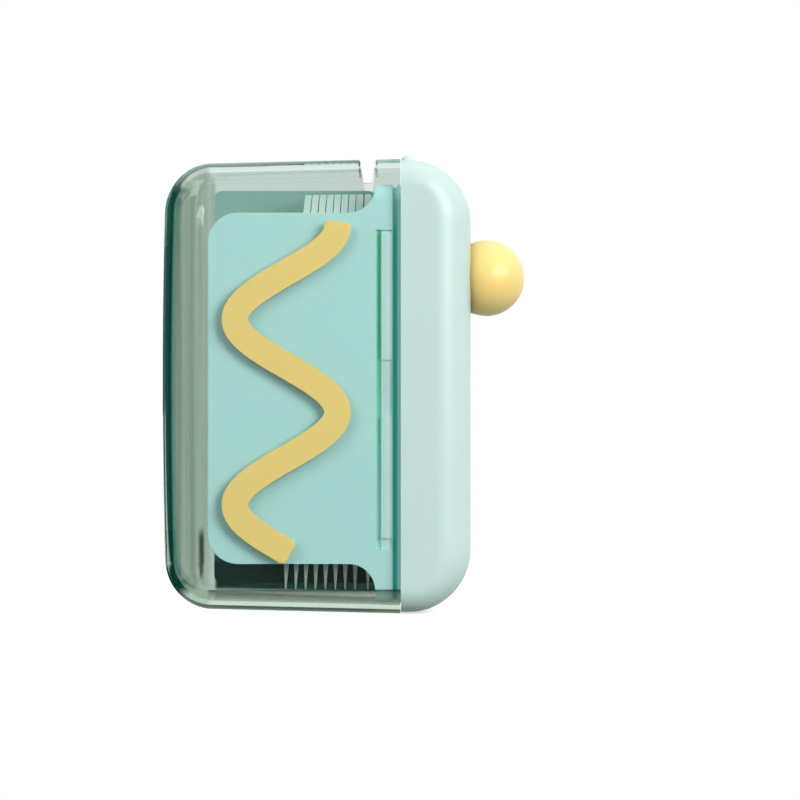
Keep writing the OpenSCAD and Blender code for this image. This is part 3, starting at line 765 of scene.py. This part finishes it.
def case_place(inset):
    return lambda p: (case_lo[0] + inset + p[0], p[1], MID_Z + p[2])


def lid_place(inset):
    return lambda p: (LID_END_X - inset - p[0], p[1], MID_Z + p[2])


def slot_outline():
    """The exit slot seen from the front: leaning sides that end in rounded lips."""
    lean = math.radians(SLOT_LEAN)
    along = (SLOT_DEPTH - LIP_R + LIP_R * math.sin(lean)) / math.cos(lean)
    lip_x = SLOT_W / 2 + along * math.sin(lean) + LIP_R * math.cos(lean)
    half = [(SLOT_W / 2, -SLOT_DEPTH)]
    half += [(lip_x + LIP_R * math.cos(a), -LIP_R + LIP_R * math.sin(a))
             for a in arc(180 - SLOT_LEAN, 90, 12)]
    half.append((lip_x, 1))
    outline = [(CHANNEL_X + x, CASE_H + z) for x, z in half]
    return outline + [(CHANNEL_X - x, CASE_H + z) for x, z in reversed(half)]


def build_case():
    """The clear case, with the exit slot cut through its top wall."""
    skin = build_shell("case_skin", case_place, CASE_WALL, CASE_LEN, CASE_H, CASE_T, CASE_CORNER,
                       CASE_SIDE, CASE_END, CASE_CROWN, CASE_DRAFT)
    boolean(skin, prism("slot_cutter", slot_outline(), -CASE_T, CASE_T), "DIFFERENCE")
    return skin


def build_lid():
    """The lid, with the ball's hole in its end and the thumb nub on its rim."""
    skin = build_shell("lid_skin", lid_place, LID_WALL, LID_LEN, LID_H, LID_T, LID_CORNER,
                       LID_SIDE, LID_END)
    hole_r, hole_len = BALL_R + BALL_GAP, 2 * HOLE_REACH
    hole = [(0, 0), (0, hole_r), (hole_len, hole_r), (hole_len, 0)]
    hole_at = (LID_END_X - HOLE_REACH, 0, BALL_Z)
    boolean(skin, turned("hole_cutter", hole, hole_at, (1, 0, 0)), "DIFFERENCE")
    nub = [(-NUB_HALF - NUB_R * math.cos(a), NUB_R * math.sin(a)) for a in arc(0, 90, 15)]
    nub += [(-x, r) for x, r in reversed(nub)]
    nub_at = (LID_X + NUB_R, 0, lid_hi[2] - NUB_R)
    boolean(skin, turned("nub", nub, nub_at, (0, 1, 0), 48), "UNION")
    return skin


for obj, look, slot_name, node, body in (
        (build_case(), "clear", "clear_smoke", "clear_case", "case"),
        (build_lid(), "lid", "mint_lid", "lid_shell", "tray")):
    dress(obj, mats[look])
    polish_normals(obj)
    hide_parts(node)
    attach(obj, body)


# Springs: smooth drawn wire in place of the coarse coils of the solids

def coil_rings(length, radius, curls, sides=14, rings=28):
    """Sections of a compression spring along X whose end curls are wound close."""
    dead = SPRING_WIRE * CURL_STEP
    pitch = (length - 2 * dead) / (curls - 2)
    section = [2 * math.pi * k / sides for k in range(sides)]
    out = []
    for i in range(curls * rings + 1):
        u = i / rings
        if u < 1:
            x = dead * u
        elif u > curls - 1:
            x = length - dead * (curls - u)
        else:
            x = dead + pitch * (u - 1)
        turn = 2 * math.pi * u
        ring = []
        for b in section:
            q = radius + SPRING_WIRE / 2 * math.cos(b)
            ring.append((x + SPRING_WIRE / 2 * math.sin(b), q * math.cos(turn),
                         q * math.sin(turn)))
        out.append(ring)
    return out


def build_coil(name, node, curls):
    """A spring in its node's box."""
    low, high = box_mm(node)
    radius = (high[1] - low[1] - SPRING_WIRE) / 2
    start_x = low[0] + SPRING_WIRE / 2
    mid_z = (high[2] + low[2]) / 2
    bm = bmesh.new()
    loops = [[bm.verts.new(((start_x + x) * MM, y * MM, (mid_z + z) * MM)) for x, y, z in ring]
             for ring in coil_rings(high[0] - low[0] - SPRING_WIRE, radius, curls)]
    for a, b in zip(loops, loops[1:]):
        n = len(a)
        for k in range(n):
            bm.faces.new([a[k], a[(k + 1) % n], b[(k + 1) % n], b[k]])
    bm.faces.new(loops[0][::-1])
    bm.faces.new(loops[-1])
    coil = closed_object(name, bm)
    dress(coil, mats["steel"])
    for face in coil.data.polygons:
        face.use_smooth = True
    coil.data.set_sharp_from_angle(angle=math.radians(60))
    return coil, low, high


for name, node, curls, joint, travel in (
        ("button_coil", "button_spring", BUTTON_CURLS, "ball_press", BUTTON_TRAVEL),
        ("follower_coil", "follower_spring", FEED_CURLS, "stack_feed", FEED_TRAVEL)):
    coil, low, high = build_coil(name, node, curls)
    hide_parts(node)
    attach(coil, "tray")
    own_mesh(coil)


# Stage: white where it is seen; where it is only mirrored it is dark on the left and dim in
# front, as a room is behind a camera

FLOOR_HALF = 6.0  # metres
FLOOR_FADE = 0.09, 0.2  # metres from the middle, from the floor with the shadow to plain white
GLOW_SEEN, GLOW_THROUGH = 0.62, 0.3  # straight from the camera, and through glass
AMBIENT_FRONT, AMBIENT_BACK, AMBIENT_BACK_Y = 0.5, 1.25, 0.6

# in the room, parts of the way there: an edge and how soft it is
LEFT_X, LOW_Z, FRONT_Y = (-0.16, 0.06), (0.4, 0.1), (-0.55, 0.25)

LIT_POINT = (0.0, 0.0, 0.042)


def seen_directly(t):
    """1 for rays that reach the stage straight from the camera or through gloss and glass."""
    path = t.node("ShaderNodeLightPath").outputs
    seen = t.maths("MAXIMUM", path["Is Camera Ray"], path["Is Glossy Ray"],
                   path["Is Transmission Ray"])
    return t.maths("MULTIPLY", seen, t.maths("LESS_THAN", path["Diffuse Depth"], 0.5))


def mirrored(t):
    """1 for rays that a surface has reflected, also inside the clear plastic."""
    path = t.node("ShaderNodeLightPath").outputs
    return t.maths("GREATER_THAN", path["Glossy Depth"], 0.5)


def near_floor(t):
    """Shows the object's shadow on a floor that is white without it."""
    shown = t.shader("ShaderNodeBsdfDiffuse", FLOOR_SHOWN)
    glow = t.shader("ShaderNodeEmission")
    path = t.node("ShaderNodeLightPath").outputs
    t.put(glow.inputs["Strength"], t.span(path["Is Camera Ray"], GLOW_THROUGH, GLOW_SEEN, 0.0, 1.0))
    return t.mix("ShaderNodeAddShader", shown, glow)


def floor_material():
    """Pale matt floor: white where it is seen, with the object's shadow near the object.

    To mirrored rays it is dark on the left, dim in front and a little shaded under the object.
    Behind the object the dark side's edge runs off to the left, out of the rear's reflections.
    """
    t = new_tree("pale_floor")
    x, y, z = t.place()
    middle = t.node("ShaderNodeVectorMath", operation="LENGTH")
    t.put(middle.inputs[0], t.coord.outputs["Object"])
    distance = middle.outputs["Value"]
    beside = t.maths("MULTIPLY", t.below(x, *BESIDE_X), t.below(y, *BESIDE_Y))
    behind = t.maths("MULTIPLY", t.maths("MAXIMUM", y, 0.0), 0.4)
    further = t.below(t.maths("ADD", x, behind), *FURTHER)
    left = t.maths("MULTIPLY", mirrored(t), t.maths("MAXIMUM", beside, further))
    front = t.maths("MULTIPLY", mirrored(t), t.below(y, *BEFORE_Y))
    under = t.maths("MULTIPLY", mirrored(t), t.span(distance, 1, 0, *FLOOR_FADE))
    pale = t.blend(under, STUDIO_WHITE, UNDERSIDE)
    far = t.shader("ShaderNodeEmission",
                   t.blend(left, t.blend(front, pale, DIM_FRONT), DARK_SIDE))
    plain = t.maths("MAXIMUM", left, front, under, t.span(distance, 0, 1, *FLOOR_FADE))
    seen = t.mix("ShaderNodeMixShader", near_floor(t), far, plain)
    lit = t.shader("ShaderNodeBsdfDiffuse",
                   t.mottled(t.noise(FLOOR_CLOUDS, 3), FLOOR_BOUNCE, 1.0, 1.04))
    return t.done(t.mix("ShaderNodeMixShader", lit, seen, seen_directly(t)))


def build_floor():
    corners = [(x * FLOOR_HALF, y * FLOOR_HALF, 0) for x, y in ((-1, -1), (1, -1), (1, 1), (-1, 1))]
    mesh = bpy.data.meshes.new("floor")
    mesh.from_pydata(corners, [], [(0, 1, 2, 3)])
    floor = add_object("floor", mesh)
    dress(floor, floor_material())


def build_world():
    """The room round the floor: it also lights the object, more from behind than from in front."""
    scene.world = bpy.data.worlds.new("studio")
    t = Tree(scene.world, "ShaderNodeOutputWorld")
    way = t.node("ShaderNodeSeparateXYZ")
    t.put(way.inputs[0], t.coord.outputs["Generated"])
    x, y, z = way.outputs
    left = t.maths("MULTIPLY", t.below(x, *LEFT_X), t.below(z, *LOW_Z))
    front = t.maths("MULTIPLY", mirrored(t), t.below(y, *FRONT_Y))
    dim = t.blend(front, STUDIO_WHITE, DIM_FRONT)
    sky = t.shader("ShaderNodeBackground",
                   t.blend(t.maths("MULTIPLY", mirrored(t), left), dim, DARK_SIDE))
    ambient = t.span(y, AMBIENT_FRONT, AMBIENT_BACK, 0.0, AMBIENT_BACK_Y)
    t.put(sky.inputs["Strength"], t.span(seen_directly(t), ambient, 1.0, 0.0, 1.0))
    t.done(sky)


def area(name, at, size, power):
    """A soft lamp that is turned to the middle of the object."""
    data = bpy.data.lights.new(name, "AREA")
    data.shape = "RECTANGLE"
    data.size, data.size_y = size
    data.energy = power
    lamp = add_object(name, data)
    lamp.location = at
    lamp.rotation_euler = (Vector(LIT_POINT) - Vector(at)).to_track_quat("-Z", "Y").to_euler()


build_floor()
build_world()
area("key", at=(0.48, -0.56, 0.3), size=(0.4, 0.4), power=4.9)
area("top", at=(0.1, 0.0, 0.7), size=(0.5, 0.4), power=0.2)
area("fill", at=(-0.5, -0.62, 0.42), size=(0.5, 0.5), power=2.0)


# Camera: square to the front, with the photograph's framing

FRAME_PX = 800
PX = 0.186 * MM  # a pixel, on the plane in which the case was measured
MEASURED_Y = -0.008
ORIGIN_PX = (343.55, 613.6)  # where the part's origin stands in the frame
LENS, SENSOR = 135, 36


def build_camera():
    data = bpy.data.cameras.new("camera")
    data.lens = LENS
    data.sensor_width = SENSOR
    camera = add_object("camera", data)
    distance = FRAME_PX * PX * LENS / SENSOR
    camera.location = ((FRAME_PX / 2 - ORIGIN_PX[0]) * PX, MEASURED_Y - distance,
                       (ORIGIN_PX[1] - FRAME_PX / 2) * PX)
    camera.rotation_euler = (math.radians(90), 0, 0)
    return camera


scene.camera = build_camera()
scene.view_settings.view_transform = "Standard"
